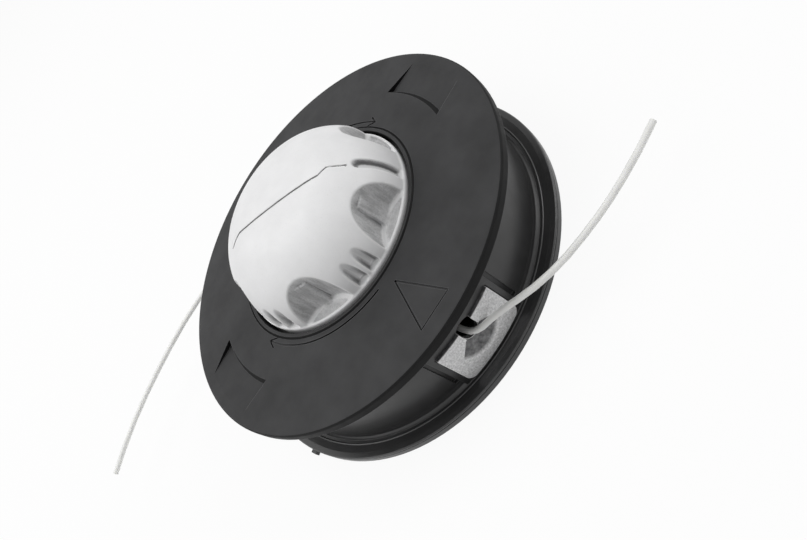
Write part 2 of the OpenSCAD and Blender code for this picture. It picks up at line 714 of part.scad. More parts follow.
// Loading mark scored across the crown, with a bend near each end, as steps along and sideways
mark_to = 24.5;
mark_route = [[-19.4, -0.3], [-15.2, 2], [17.6, -0.8], [20.4, 0.8], [mark_to, -0.2]];
module loading_mark() {
    difference() {
        for (i = [1 : len(mark_route) - 1]) {
            from = mark_route[i - 1];
            step = mark_route[i] - from;
            translate([from[0], loading_mark_side + from[1], rim_z + knob_h / 2])
                rotate([0, 0, atan2(step[1], step[0])]) translate([0, -loading_mark_w / 2, 0])
                    cube([norm(step), loading_mark_w, knob_h]);
        }
        dome(knob_r - loading_mark_depth, knob_h - loading_mark_depth);
    }
}
// Groove that carries the loading mark on from its end down to the rim, under an even depth
module loading_groove() {
    x = mark_to + loading_groove_w;
    difference() {
        union() {
            translate([x, loading_mark_side, scoop_z]) cylinder(d = loading_groove_w, h = far);
            translate([x, loading_mark_side - loading_groove_w / 2, scoop_z])
                cube([far, loading_groove_w, far]);
        }
        dome(knob_r - loading_groove_depth, knob_h - loading_groove_depth);
    }
}
// Hollow of the knob, which leaves a wall behind the scoops and bosses for the screws
module knob_hollow() {
    difference() {
        union() {
            dome(knob_r - knob_wall - groove_depth, knob_h - knob_wall);
            translate([0, 0, spool_top_z - over])
                cylinder(r = knob_r - knob_wall - groove_depth, h = rim_z - spool_top_z + 2 * over);
        }
        around(scoop_count, scoop_lead) translate([scoop_axis_r, 0, 0])
            cylinder(r = scoop_r + knob_wall, h = far);
        around(screw_count, screw_lead) boss();
    }
}
module boss() {
    translate([knob_screw_r, 0, 0]) cylinder(r = boss_r, h = far);
    translate([knob_screw_r, -boss_r / 2, 0]) cube([knob_r - knob_screw_r, boss_r, far]);
}
module knob() rotate([0, 0, spool_angle]) color([0.86, 0.86, 0.86]) {
    difference() {
        union() {
            dome(knob_r, knob_h);
            translate([0, 0, spool_top_z]) cylinder(r = knob_rim_r, h = knob_floor_z - spool_top_z);
        }
        knob_hollow();
        for (i = [0 : scoop_count - 1]) rotate([0, 0, scoop_lead + i * turn / scoop_count])
            scoop(i % 2 == 0 ? 1 : -1);
        for (i = [0 : scoop_count - 1]) if (i % (scoop_count / 2) != 0)
            rotate([0, 0, scoop_lead + (i + 0.5) * turn / scoop_count])
                for (side = [-1, 1]) groove(side * groove_pitch / 2);
        loading_mark();
        around(2) loading_groove();
        around(screw_count, screw_lead) translate([knob_screw_r, 0, spool_top_z - over])
            cylinder(d = knob_screw_d + seat_gap, h = boss_depth + over);
    }
}

// Screws from inside the spool up into the knob's bosses
module knob_screws() rotate([0, 0, spool_angle]) color([0.62, 0.62, 0.64]) around(screw_count, screw_lead)
    translate([knob_screw_r, 0, 0]) difference() {
        inner_top_z = spool_top_z - spool_top_t;
        union() {
            translate([0, 0, inner_top_z]) cylinder(d = knob_screw_d, h = spool_top_t + boss_depth - 1);
            translate([0, 0, inner_top_z - knob_head_h]) cylinder(r = knob_head_r, h = knob_head_h);
        }
        translate([0, 0, 2 * (inner_top_z - knob_head_h)]) mirror([0, 0, 1])
            cross_recess(inner_top_z - knob_head_h, knob_screw_d);
    }

// Front cover: a shallow crowned disc with a skirt, two snap tongues and a ring of ratchet teeth
edge_r = 0.9;
well_t = 2;
tongue_nose = 2;
tongue_step = 0.2;
tongue_ramp = 1.6;
slit_w = 1;
module cover_body() {
    rotate_extrude() polygon(concat(
        [[hole_r, cover_in_z], [skirt_in_r, cover_in_z], [skirt_in_r, cover_in_z - skirt_h],
         [skirt_r, cover_in_z - skirt_h], [skirt_r, seat_z], [cover_r - lip_step, seat_z],
         [cover_r, seat_z + lip_step]],
        [for (a = [0 : 15 : 90]) [cover_r - edge_r + edge_r * cos(a), rim_z - edge_r + edge_r * sin(a)]],
        [[lip_r + 0.5, cover_face_z(lip_r)], [lip_r + 0.25, cover_face_z(lip_r) - 0.3],
         [lip_r, cover_face_z(lip_r)], [lip_r - 0.2, cover_face_z(lip_r) + hole_lip_h],
         [hole_r + 0.2, cover_face_z(lip_r) + hole_lip_h],
         [hole_r, cover_face_z(lip_r) + hole_lip_h - 0.2]]));
}
// Solid below the cover's front face, lowered by a depth
module below_face(depth) {
    rotate_extrude() polygon([[0, -over], [cover_r + over, -over], [cover_r + over, rim_z - depth],
                              [lip_r, cover_face_z(lip_r) - depth], [0, cover_face_z(lip_r) - depth]]);
}
// Outline of a thumb pocket, seen from the front: its sides draw in towards the cover's edge
pocket_taper = 0.68;
module pocket_outline() {
    a = pocket_half_angle;
    in_y = pocket_r * sin(a);
    out_y = pocket_taper * pocket_out_r * sin(a);
    slope = (out_y - in_y) / (pocket_out_r - pocket_r * cos(a));
    low_x = pocket_r * cos(a) - pocket_len;
    high_x = pocket_out_r + pocket_len;
    low_y = in_y - slope * pocket_len;
    high_y = out_y + slope * pocket_len;
    polygon([[low_x, -low_y], [high_x, -high_y], [high_x, high_y], [low_x, low_y]]);
}
// Space of a thumb pocket: its inner wall leans back, and its floor rises from there out to the face
pocket_lean = 1.3;
module pocket() {
    reach = 2;
    face_z = cover_face_z(pocket_r);
    low_z = face_z - pocket_depth;
    rise = (cover_face_z(pocket_out_r) - low_z) / pocket_len;
    intersection() {
        linear_extrude(far) pocket_outline();
        rotate_extrude() polygon([[pocket_r + pocket_lean, low_z + pocket_lean * rise],
                                  [pocket_out_r + reach, low_z + (pocket_len + reach) * rise],
                                  [pocket_out_r + reach, far], [pocket_r - reach, far],
                                  [pocket_r - reach, face_z + reach], [pocket_r, face_z]]);
    }
}
// Thicker wall under a thumb pocket
module pocket_well() {
    a = pocket_half_angle + 2;
    well_z = cover_face_z(pocket_r) - pocket_depth - well_t;
    rotate([0, 0, -a]) rotate_extrude(angle = 2 * a)
        polygon([[pocket_r - well_t, cover_in_z + over], [pocket_r - well_t, well_z],
                 [skirt_in_r + over, well_z], [skirt_in_r + over, cover_in_z + over]]);
}
// Snap tongue with a nose that catches in the drum's window
module tongue() {
    nose_z = window_z + window_h - seat_gap;
    in_r = skirt_in_r + tongue_step;
    out_r = skirt_r - tongue_step;
    nose_r = skirt_r + tongue_nose;
    rotate([0, 0, -tongue_angle / 2]) rotate_extrude(angle = tongue_angle)
        polygon([[in_r, cover_in_z - tongue_h], [out_r, cover_in_z - tongue_h],
                 [out_r, window_z + seat_gap], [nose_r, window_z + tongue_ramp],
                 [nose_r, nose_z], [out_r, nose_z], [out_r, seat_z + over], [in_r, seat_z + over]]);
}
// Slits that let a tongue bend
module tongue_slits() {
    for (side = [-1, 1]) rotate([0, 0, side * (tongue_angle / 2 + 0.8)])
        translate([skirt_in_r - slit_w, -slit_w / 2, 0]) cube([skirt_t + 2 * slit_w, slit_w, seat_z]);
}
// Arrow along an arc, with its head at the clockwise end
arrow_barb = 3.4;
arrow_barb_angle = 28;
module arrow_outline() {
    half = mark_w / 2;
    intersection() {
        difference() {
            circle(r = arrow_r + half);
            circle(r = arrow_r - half);
        }
        polygon([[0, 0], [far, 0], 2 * far * [cos(arrow_angle / 2), sin(arrow_angle / 2)],
                 far * [cos(arrow_angle), sin(arrow_angle)]]);
    }
    for (side = [-1, 1]) translate([arrow_r, 0]) rotate([0, 0, 90 + side * arrow_barb_angle])
        translate([0, -half]) square([arrow_barb, mark_w]);
}
// Open triangle whose tip points at the knob
module triangle_outline() {
    tip_r = lip_r + triangle_gap;
    base_r = tip_r + triangle_len;
    lean = atan(triangle_w / 2 / triangle_len);
    for (side = [-1, 1]) translate([tip_r, 0]) rotate([0, 0, side * lean]) translate([0, -mark_w / 2])
        square([triangle_len / cos(lean), mark_w]);
    translate([base_r - mark_w / 2, -triangle_w / 2]) square([mark_w / 2, triangle_w]);
}
module marks() {
    difference() {
        translate([0, 0, cover_in_z]) linear_extrude(far) around(2) {
            rotate([0, 0, arrow_start]) arrow_outline();
            triangle_outline();
        }
        below_face(mark_depth);
    }
}
module front_cover() color([0.26, 0.26, 0.27]) {
    difference() {
        union() {
            cover_body();
            at_pockets() pocket_well();
            at_pockets() tongue();
        }
        at_pockets() pocket();
        at_pockets() tongue_slits();
        marks();
    }
    translate([0, 0, cover_in_z]) mirror([0, 0, 1]) rotate([0, 0, turn / tooth_count / 2])
        teeth(high_teeth_r, high_teeth_w, tooth_h, -1);
}

housing();
eyelet_a();
eyelet_b();
arbor_nut();
arbor_washer();
nut_circlip();
index_ring();
index_ring_screws();
spring_seat();
spring();
thrust_washer();
spool();
spool_bush();
line_wound_lower();
line_wound_upper();
line_tail_a();
line_tail_b();
knob();
knob_screws();
front_cover();
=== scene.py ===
"""Dressed model of a bump-feed trimmer head with a cast knob that rewinds the cutting line.

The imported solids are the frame. Moulded and pressed parts keep their CAD shapes, and the cast knob,
the cutting line, the spring and the threaded nut are pieces of their own. Every surface gets a
procedural finish. Lengths are in metres.
"""

from __future__ import annotations

import logging
import math
from dataclasses import dataclass
from enum import Enum
from typing import Sequence

import bmesh
import bpy
import numpy as np
from mathutils import Matrix, Vector


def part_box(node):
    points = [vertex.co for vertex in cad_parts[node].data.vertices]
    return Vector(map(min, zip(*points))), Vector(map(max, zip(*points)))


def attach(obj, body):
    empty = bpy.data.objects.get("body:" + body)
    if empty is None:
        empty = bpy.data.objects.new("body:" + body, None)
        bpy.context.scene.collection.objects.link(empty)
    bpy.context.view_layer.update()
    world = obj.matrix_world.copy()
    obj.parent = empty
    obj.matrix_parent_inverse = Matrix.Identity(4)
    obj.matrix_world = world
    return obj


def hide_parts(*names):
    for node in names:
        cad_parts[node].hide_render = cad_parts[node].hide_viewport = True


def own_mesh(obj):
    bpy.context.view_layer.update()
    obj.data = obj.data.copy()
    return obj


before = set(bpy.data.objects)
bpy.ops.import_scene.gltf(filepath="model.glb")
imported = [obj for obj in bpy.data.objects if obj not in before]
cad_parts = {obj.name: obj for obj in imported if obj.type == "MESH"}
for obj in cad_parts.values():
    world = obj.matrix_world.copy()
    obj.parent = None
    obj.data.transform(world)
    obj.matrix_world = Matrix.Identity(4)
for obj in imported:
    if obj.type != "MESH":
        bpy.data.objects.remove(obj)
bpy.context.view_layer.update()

log = logging.getLogger("trimmer_head")

MM = 0.001
Point = tuple[float, float, float]
Colour = tuple[float, float, float]


class Body(Enum):
    """Rigid bodies of the head, as the joints move them."""

    HOUSING = "housing"
    CARRIER = "bump_carrier"
    SPOOL = "spool"


class Slot(Enum):
    """Material slots of the record."""

    HOUSING = "housing_plastic"
    COVER = "cover_plastic"
    CAST = "cast_aluminium"
    EYELET = "eyelet_metal"
    STEEL = "steel"
    INDEX = "index_plastic"
    SPOOL = "spool_plastic"
    BRASS = "bush_brass"
    NYLON = "nylon"


# ---------------------------------------------------------------- finishes


class ShaderTree:
    """Node tree of one material, with short calls for the nodes that the finishes share."""

    def __init__(self, name: str) -> None:
        """Makes an empty material.

        Args:
            name: name of the material.
        """
        self.material = bpy.data.materials.new(name)
        self.material.use_nodes = True
        self.nodes = self.material.node_tree.nodes
        self.links = self.material.node_tree.links
        self.nodes.clear()
        self.coord = self.add("ShaderNodeTexCoord")
        self.output = self.add("ShaderNodeOutputMaterial")
        self.shader = self.add("ShaderNodeBsdfPrincipled")
        self.link(self.shader.outputs["BSDF"], self.output.inputs["Surface"])

    def add(self, kind: str, **settings: object) -> bpy.types.Node:
        """Adds a node.

        Args:
            kind: Blender's name of the node type.
            **settings: values of the node's own properties.

        Returns:
            The new node.
        """
        node = self.nodes.new(kind)
        for key, value in settings.items():
            setattr(node, key, value)
        return node

    def link(self, out: bpy.types.NodeSocket, into: bpy.types.NodeSocket) -> None:
        """Joins two sockets."""
        self.links.new(out, into)

    def mapped(self, scale: Point) -> bpy.types.NodeSocket:
        """Object coordinates at a scale.

        Args:
            scale: factors along X, Y and Z.

        Returns:
            The vector socket.
        """
        node = self.add("ShaderNodeMapping")
        node.inputs["Scale"].default_value = scale
        self.link(self.coord.outputs["Object"], node.inputs["Vector"])
        return node.outputs["Vector"]

    def noise(self, size: float, detail: float = 4.0, rough: float = 0.55,
              scale: Point = (1.0, 1.0, 1.0)) -> bpy.types.NodeSocket:
        """Noise over the object.

        Args:
            size: width of a grain in metres.
            detail: octaves of the noise.
            rough: weight of the finer octaves.
            scale: stretch along X, Y and Z.

        Returns:
            The factor socket, from 0 to 1.
        """
        node = self.add("ShaderNodeTexNoise")
        node.inputs["Scale"].default_value = 1.0 / size
        node.inputs["Detail"].default_value = detail
        node.inputs["Roughness"].default_value = rough
        self.link(self.mapped(scale), node.inputs["Vector"])
        return node.outputs["Fac"]

    def ramp(self, value: bpy.types.NodeSocket, low: float, high: float,
             to_low: float = 0.0, to_high: float = 1.0) -> bpy.types.NodeSocket:
        """Maps a range of a value onto another range, and stops at its ends.

        Args:
            value: the value to map.
            low: value that gives to_low.
            high: value that gives to_high.
            to_low: result at low.
            to_high: result at high.

        Returns:
            The result socket.
        """
        node = self.add("ShaderNodeMapRange", clamp=True)
        self.link(value, node.inputs["Value"])
        for key, number in (("From Min", low), ("From Max", high), ("To Min", to_low), ("To Max", to_high)):
            node.inputs[key].default_value = number
        return node.outputs["Result"]

    def math(self, operation: str, a: bpy.types.NodeSocket | float,
             b: bpy.types.NodeSocket | float = 0.0) -> bpy.types.NodeSocket:
        """Arithmetic on two values.

        Args:
            operation: name of the operation, such as ADD.
            a: first value or socket.
            b: second value or socket.

        Returns:
            The result socket.
        """
        node = self.add("ShaderNodeMath", operation=operation)
        for index, value in enumerate((a, b)):
            if isinstance(value, (int, float)):
                node.inputs[index].default_value = value
            else:
                self.link(value, node.inputs[index])
        return node.outputs["Value"]

    def blend(self, factor: bpy.types.NodeSocket, a: Colour | bpy.types.NodeSocket,
              b: Colour | bpy.types.NodeSocket) -> bpy.types.NodeSocket:
        """Colour between two colours.

        Args:
            factor: 0 gives a and 1 gives b.
            a: first colour or socket.
            b: second colour or socket.

        Returns:
            The colour socket.
        """
        node = self.add("ShaderNodeMix", data_type="RGBA")
        self.link(factor, node.inputs[0])
        for index, value in ((6, a), (7, b)):
            if isinstance(value, tuple):
                node.inputs[index].default_value = (*value, 1.0)
            else:
                self.link(value, node.inputs[index])
        return node.outputs[2]

    def rounded(self, radius: float) -> bpy.types.NodeSocket:
        """Normal that rounds sharp edges off.

        Args:
            radius: radius of the rounding in metres.

        Returns:
            The normal socket.
        """
        node = self.add("ShaderNodeBevel", samples=6)
        node.inputs["Radius"].default_value = radius
        return node.outputs["Normal"]

    def edges(self, radius: float) -> bpy.types.NodeSocket:
        """Mask of the edges and corners.

        Args:
            radius: reach of the mask in metres.

        Returns:
            The mask socket, from 0 on a flat to 1 on an edge.
        """
        plain = self.add("ShaderNodeNewGeometry")
        dot = self.add("ShaderNodeVectorMath", operation="DOT_PRODUCT")
        self.link(self.rounded(radius), dot.inputs[0])
        self.link(plain.outputs["Normal"], dot.inputs[1])
        return self.ramp(dot.outputs["Value"], 0.995, 0.8)

    def upright(self) -> bpy.types.NodeSocket:
        """Mask of the walls that stand across the face.

        Returns:
            The mask socket, from 0 on a face to 1 on a wall.
        """
        split = self.add("ShaderNodeSeparateXYZ")
        self.link(self.coord.outputs["Normal"], split.inputs["Vector"])
        return self.ramp(self.math("ABSOLUTE", split.outputs["Z"]), 0.93, 0.8)

    def reach(self) -> bpy.types.NodeSocket:
        """Distance from the spin axis.

        Returns:
            The distance socket, in metres.
        """
        return self.far_from((0.0, 0.0, 0.0), (1.0, 1.0, 0.0))

    def far_from(self, centre: Point, scale: Point) -> bpy.types.NodeSocket:
        """Distance from a place.

        Args:
            centre: the place.
            scale: 1 for each axis that counts, and 0 for the others.

        Returns:
            The distance socket, in metres.
        """
        off = self.add("ShaderNodeVectorMath", operation="DISTANCE")
        flat = self.add("ShaderNodeVectorMath", operation="MULTIPLY")
        flat.inputs[1].default_value = scale
        self.link(self.coord.outputs["Object"], flat.inputs[0])
        self.link(flat.outputs["Vector"], off.inputs[0])
        off.inputs[1].default_value = centre
        return off.outputs["Value"]

    def bump(self, height: bpy.types.NodeSocket, depth: float, radius: float) -> None:
        """Gives the shader a relief over rounded edges.

        Args:
            height: relief, from 0 to 1.
            depth: depth of the relief in metres.
            radius: radius of the edges in metres.
        """
        node = self.add("ShaderNodeBump")
        node.inputs["Strength"].default_value = 1.0
        node.inputs["Distance"].default_value = depth
        self.link(height, node.inputs["Height"])
        self.link(self.rounded(radius), node.inputs["Normal"])
        self.link(node.outputs["Normal"], self.shader.inputs["Normal"])

    def put(self, name: str, value: bpy.types.NodeSocket | float | Colour) -> None:
        """Sets or links an input of the shader.

        Args:
            name: name of the input.
            value: a number, a colour or a socket.
        """
        socket = self.shader.inputs[name]
        if isinstance(value, bpy.types.NodeSocket):
            self.link(value, socket)
        elif isinstance(value, tuple):
            socket.default_value = (*value, 1.0)
        else:
            socket.default_value = value


@dataclass(frozen=True)
class MouldedPlastic:
    """Moulded plastic with a fine grain and faint mottling, a painted highlight on its edges, and where asked
    painted shade on its upright walls and a painted highlight along its outer rim.
    """

    name: str
    colour: Colour
    rough: float
    gloss: float = 0.35
    grain: float = 0.35 * MM
    depth: float = 0.02 * MM
    edge: float = 0.25 * MM
    # How much paler the edges are painted, as a highlight.
    edge_lift: float = 0.6
    mottle: float = 0.2
    # Colour factor of the upright walls, for painted shade; 1 leaves them as they are.
    wall: float = 1.0
    rim_from: float = 64.3 * MM

    def build(self) -> bpy.types.Material:
        """Makes the material."""
        tree = ShaderTree(self.name)
        pale = tuple(min(1.0, c * (1 + self.mottle) + 0.002) for c in self.colour)
        dark = tuple(c * (1 - self.mottle) for c in self.colour)
        edge_highlight = tuple(min(1.0, c * (1 + self.edge_lift) + 0.012 * self.edge_lift) for c in self.colour)
        cloud = tree.ramp(tree.noise(16 * MM, 3.0), 0.3, 0.7)
        speck = tree.ramp(tree.noise(0.9 * MM, 2.0, 0.7), 0.62, 0.78, 0.0, 0.4)
        base = tree.blend(cloud, dark, pale)
        base = tree.blend(speck, base, pale)
        # Painted highlight: the edges are paler, as if they caught the light.
        base = tree.blend(tree.edges(self.edge * 1.6), base, edge_highlight)
        if self.wall < 1.0:
            # Painted shade: the upright walls, such as the cover's side, are darker, as if turned away from
            # the light.
            base = tree.blend(tree.upright(), base, tuple(c * self.wall for c in self.colour))
            # Painted highlight along the edge of the outer rim.
            outer = tree.ramp(tree.reach(), self.rim_from, self.rim_from + 0.2 * MM)
            base = tree.blend(tree.math("MULTIPLY", tree.edges(self.edge * 2), outer), base, edge_highlight)
        tree.put("Base Color", base)
        scuff = tree.ramp(tree.noise(5 * MM, 5.0, 0.65), 0.35, 0.7, self.rough - 0.04, self.rough + 0.06)
        tree.put("Roughness", scuff)
        tree.put("Specular IOR Level", self.gloss)
        tree.bump(tree.noise(self.grain, 2.0), self.depth, self.edge)
        return tree.material


@dataclass(frozen=True)
class CastMetal:
    """Cast aluminium: a tumbled bright skin, and a duller sandy one on the walls of its recesses that is
    partly painted shade. There is painted shade deep in the grooves and in corners, and a painted highlight
    on the ridges.
    """

    name: str
    colour: Colour
    rough: float
    # Colour of the recess walls: a duller sandy skin, and partly painted shade.
    recess: Colour
    # Colour of the painted highlight on the ridges.
    edge_highlight: Colour
    grain: float = 0.45 * MM
    depth: float = 0.022 * MM

    def build(self) -> bpy.types.Material:
        """Makes the material."""
        tree = ShaderTree(self.name)
        wall = tree.add("ShaderNodeAttribute", attribute_name="recess").outputs["Fac"]
        crease = tree.add("ShaderNodeAttribute", attribute_name="crease").outputs["Fac"]
        dull = tuple(c * 0.94 for c in self.colour)
        cloud = tree.ramp(tree.noise(8 * MM, 4.0), 0.3, 0.7)
        grainy = tree.noise(self.grain, 3.0, 0.6)
        streak = tree.ramp(tree.noise(1.6 * MM, 3.0, 0.6, (1.0, 1.0, 0.25)), 0.35, 0.7, 0.0, 0.8)
        dark = tuple(c * 0.5 for c in self.recess)
        deep_shade = tuple(c * 0.3 for c in self.recess)
        # The walls of recesses take the recess colour: a duller sandy skin, and partly painted shade.
        base = tree.blend(wall, tree.blend(cloud, dull, self.colour), tree.blend(streak, self.recess, dark))
        base = tree.blend(tree.ramp(grainy, 0.6, 0.75, 0.0, 0.3), base, self.recess)
        pits = tree.math("MULTIPLY", tree.ramp(tree.noise(0.5 * MM, 3.0, 0.7), 0.5, 0.72, 0.0, 0.7), wall)
        base = tree.blend(pits, base, dark)
        # Painted shade deep in the grooves.
        base = tree.blend(tree.ramp(wall, 1.0, 2.0, 0.0, 0.85), base, deep_shade)
        # Painted highlight on the ridges.
        base = tree.blend(tree.ramp(crease, 0.25, 0.7, 0.0, 0.8), base, self.edge_highlight)
        # Painted shade in the concave corners.
        base = tree.blend(tree.ramp(crease, -0.7, -0.25, 0.8, 0.0), base, deep_shade)
        tree.put("Base Color", base)
        tree.put("Metallic", 0.05)
        tree.put("Specular IOR Level", 0.3)
        tree.put("Roughness", tree.ramp(grainy, 0.3, 0.7, self.rough - 0.05, self.rough + 0.08))
        tree.bump(grainy, self.depth, 0.15 * MM)
        return tree.material


@dataclass(frozen=True)
class PressedZinc:
    """Grainy zinc of the eyelets, bright on its face, with a painted highlight on its edges, and painted
    shade in its hollow that is partly a duller surface.
    """

    name: str
    colour: Colour
    # Colour of the hollow: painted shade, and partly a duller surface.
    hollow: Colour
    rough: float
    face: float = 59.33 * MM
    deep: float = 59.1 * MM
    slot_z: float = 16.2 * MM
    grain: float = 0.6 * MM

    def build(self) -> bpy.types.Material:
        """Makes the material."""
        tree = ShaderTree(self.name)
        grainy = tree.noise(self.grain, 4.0, 0.7)
        pale = tuple(min(1.0, c * 1.3) for c in self.colour)
        dull = tuple(c * 0.6 for c in self.colour)
        base = tree.blend(tree.ramp(grainy, 0.35, 0.65), dull, self.colour)
        base = tree.blend(tree.ramp(grainy, 0.62, 0.72), base, pale)
        # Painted shade in the hollow below the face, partly a duller surface, in blotches.
        blotches = tree.ramp(tree.noise(1.8 * MM, 3.0), 0.35, 0.7, 0.75, 1.0)
        sunk = tree.math("MULTIPLY", tree.ramp(tree.reach(), self.face, self.deep), blotches)
        base = tree.blend(sunk, base, self.hollow)
        # Painted highlight on the edges, left off the ring round the flare's rim.
        away = tree.far_from((0.0, 0.0, self.slot_z), (0.0, 1.0, 1.0))
        inner, outer = tree.ramp(away, 8.6 * MM, 9.0 * MM), tree.ramp(away, 10.6 * MM, 10.2 * MM)
        plain = tree.ramp(tree.math("MULTIPLY", inner, outer), 0.0, 1.0, 1.0, 0.0)
        edge_highlight = tree.math("MULTIPLY", tree.edges(0.5 * MM), plain)
        base = tree.blend(edge_highlight, base, (0.95, 0.95, 0.95))
        tree.put("Base Color", base)
        tree.put("Metallic", 0.2)
        tree.put("Roughness", tree.ramp(grainy, 0.3, 0.7, self.rough - 0.08, self.rough + 0.08))
        tree.bump(grainy, 0.09 * MM, 0.2 * MM)
        return tree.material


@dataclass(frozen=True)
class WorkedMetal:
    """Steel, brass or zinc with fine lines from working or rolling."""

    name: str
    colour: Colour
    rough: float
    stretch: Point = (1.0, 1.0, 14.0)
    line: float = 1.6 * MM
    depth: float = 0.008 * MM
    edge: float = 0.2 * MM

    def build(self) -> bpy.types.Material:
        """Makes the material."""
        tree = ShaderTree(self.name)
        dull = tuple(c * 0.8 for c in self.colour)
        bright = tuple(min(1.0, c * 1.25) for c in self.colour)
        blotches = tree.ramp(tree.noise(6 * MM, 4.0), 0.35, 0.7)
        base = tree.blend(blotches, dull, self.colour)
        base = tree.blend(tree.edges(self.edge), base, bright)
        tree.put("Base Color", base)
        tree.put("Metallic", 1.0)
        lines = tree.noise(self.line, 3.0, 0.6, self.stretch)
        tree.put("Roughness", tree.ramp(lines, 0.3, 0.7, self.rough - 0.07, self.rough + 0.1))
        tree.bump(lines, self.depth, self.edge)
        return tree.material


@dataclass(frozen=True)
class DrawnNylon:
    """Milky nylon line, slightly see-through, with faint draw marks."""

    name: str
    colour: Colour
    rough: float

    def build(self) -> bpy.types.Material:
        """Makes the material."""
        tree = ShaderTree(self.name)
        haze = tree.ramp(tree.noise(7 * MM, 3.0), 0.3, 0.7)
        milky = tuple(c * 0.93 for c in self.colour)
        tree.put("Base Color", tree.blend(haze, milky, self.colour))
        tree.put("Roughness", tree.ramp(tree.noise(2 * MM, 3.0), 0.3, 0.7, self.rough, self.rough + 0.15))
        tree.put("IOR", 1.53)
        tree.put("Subsurface Weight", 0.15)
        tree.shader.inputs["Subsurface Radius"].default_value = (1.0, 1.0, 0.9)
        tree.put("Subsurface Scale", 0.8 * MM)
        tree.bump(tree.noise(0.8 * MM, 2.0), 0.01 * MM, 0.1 * MM)
        return tree.material


class Finishes:
    """All finishes of the head, built once."""

    def __init__(self) -> None:
        """Builds the materials."""
        self.by_slot: dict[Slot, bpy.types.Material] = {
            Slot.HOUSING: MouldedPlastic("housing_gloss", (0.032, 0.032, 0.0325), 0.32, 0.45,
                                         depth=0.006 * MM).build(),
            # The cover's side walls get painted shade, and its edges a stronger painted highlight.
            Slot.COVER: MouldedPlastic("cover_matt", (0.04, 0.04, 0.041), 0.55, 0.12,
                                       depth=0.02 * MM, edge_lift=1.6, wall=0.15).build(),
            # Cast: the recess colour is partly painted shade, and the last colour is the painted highlight on
            # the ridges.
            Slot.CAST: CastMetal("cast_aluminium", (0.88, 0.88, 0.885), 0.6, (0.62, 0.62, 0.625),
                                 (0.95, 0.95, 0.95)).build(),
            # The eyelet's second colour is the painted shade of its hollow.
            Slot.EYELET: PressedZinc("eyelet_zinc", (0.88, 0.88, 0.885), (0.055, 0.055, 0.057), 0.48).build(),
            Slot.STEEL: WorkedMetal("plated_steel", (0.56, 0.57, 0.59), 0.3).build(),
            Slot.INDEX: MouldedPlastic("index_nylon", (0.5, 0.48, 0.42), 0.45, mottle=0.08).build(),
            Slot.SPOOL: MouldedPlastic("spool_nylon", (0.02, 0.02, 0.021), 0.42).build(),
            Slot.BRASS: WorkedMetal("sintered_brass", (0.66, 0.48, 0.2), 0.4, (1.0, 1.0, 3.0)).build(),
            Slot.NYLON: DrawnNylon("drawn_nylon", (0.93, 0.93, 0.91), 0.3).build(),
        }

    def __getitem__(self, slot: Slot) -> bpy.types.Material:
        """Material of a slot."""
        return self.by_slot[slot]


# ---------------------------------------------------------------- shared making


class Maker:
    """Turns bmeshes, curves and CAD nodes into finished pieces."""

    merge: float = 0.008 * MM

    def __init__(self, finishes: Finishes) -> None:
        """Keeps the finishes.

        Args:
            finishes: materials by slot.
        """
        self.finishes = finishes

    def place(self, piece: bpy.types.Object, slot: Slot, body: Body,
              stands_for: Sequence[str] = ()) -> bpy.types.Object:
        """Dresses a piece, and puts it on its body.

        Args:
            piece: the object, at the origin.
            slot: its material slot.
            body: the body that it rides on.
            stands_for: CAD nodes that it replaces.

        Returns:
            The piece.
        """
        piece.data.materials.clear()
        piece.data.materials.append(self.finishes[slot])
        if stands_for:
            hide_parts(*stands_for)
        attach(piece, body.value)
        log.info("piece %s on %s", piece.name, body.value)
        return piece

    def mesh(self, name: str, bm: bmesh.types.BMesh, sharp: float = 30.0) -> bpy.types.Object:
        """Makes an object of a bmesh, smooth but for its sharp edges.

        Args:
            name: name of the object.
            bm: the bmesh, which is freed.
            sharp: angle in degrees from which an edge stays sharp.

        Returns:
            The object.
        """
        data = bpy.data.meshes.new(name)
        bm.to_mesh(data)
        bm.free()
        data.shade_smooth()
        data.set_sharp_from_angle(angle=math.radians(sharp))
        piece = bpy.data.objects.new(name, data)
        bpy.context.scene.collection.objects.link(piece)
        return piece

    def copy_of(self, node: str) -> bmesh.types.BMesh:
        """Merged copy of a CAD node's mesh.

        Args:
            node: name of the node.

        Returns:
            The bmesh.
        """
        bm = bmesh.new()
        bm.from_mesh(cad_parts[node].data)
        bmesh.ops.remove_doubles(bm, verts=bm.verts, dist=self.merge)
        bmesh.ops.recalc_face_normals(bm, faces=bm.faces)
        return bm

    def settle(self, piece: bpy.types.Object) -> None:
        """Applies a mesh piece's modifiers.

        Args:
            piece: the object.
        """
        bpy.context.view_layer.update()
        seen = piece.evaluated_get(bpy.context.evaluated_depsgraph_get())
        data = bpy.data.meshes.new_from_object(seen)
        piece.modifiers.clear()
        piece.data = data

    def cut(self, piece: bpy.types.Object, tool: bpy.types.Object, operation: str = "DIFFERENCE") -> None:
        """Cuts a piece with another, which is then deleted.

        Args:
            piece: the object that stays.
            tool: the closed mesh that cuts.
            operation: DIFFERENCE, INTERSECT or UNION.
        """
        modifier = piece.modifiers.new("cut", "BOOLEAN")
        modifier.operation = operation
        modifier.solver = "EXACT"
        modifier.object = tool
        self.settle(piece)
        bpy.data.objects.remove(tool)
        bm = bmesh.new()
        bm.from_mesh(piece.data)
        bmesh.ops.remove_doubles(bm, verts=bm.verts, dist=self.merge)
        bmesh.ops.dissolve_degenerate(bm, edges=bm.edges, dist=self.merge)
        bm.to_mesh(piece.data)
        bm.free()

    def dress(self, node: str, slot: Slot) -> None:
        """Gives a CAD node its finish.

        Args:
            node: the CAD node.
            slot: its material slot.
        """
        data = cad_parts[node].data
        data.materials.clear()
        data.materials.append(self.finishes[slot])
        log.info("CAD node %s in %s", node, slot.value)


# ---------------------------------------------------------------- camera, light and floor


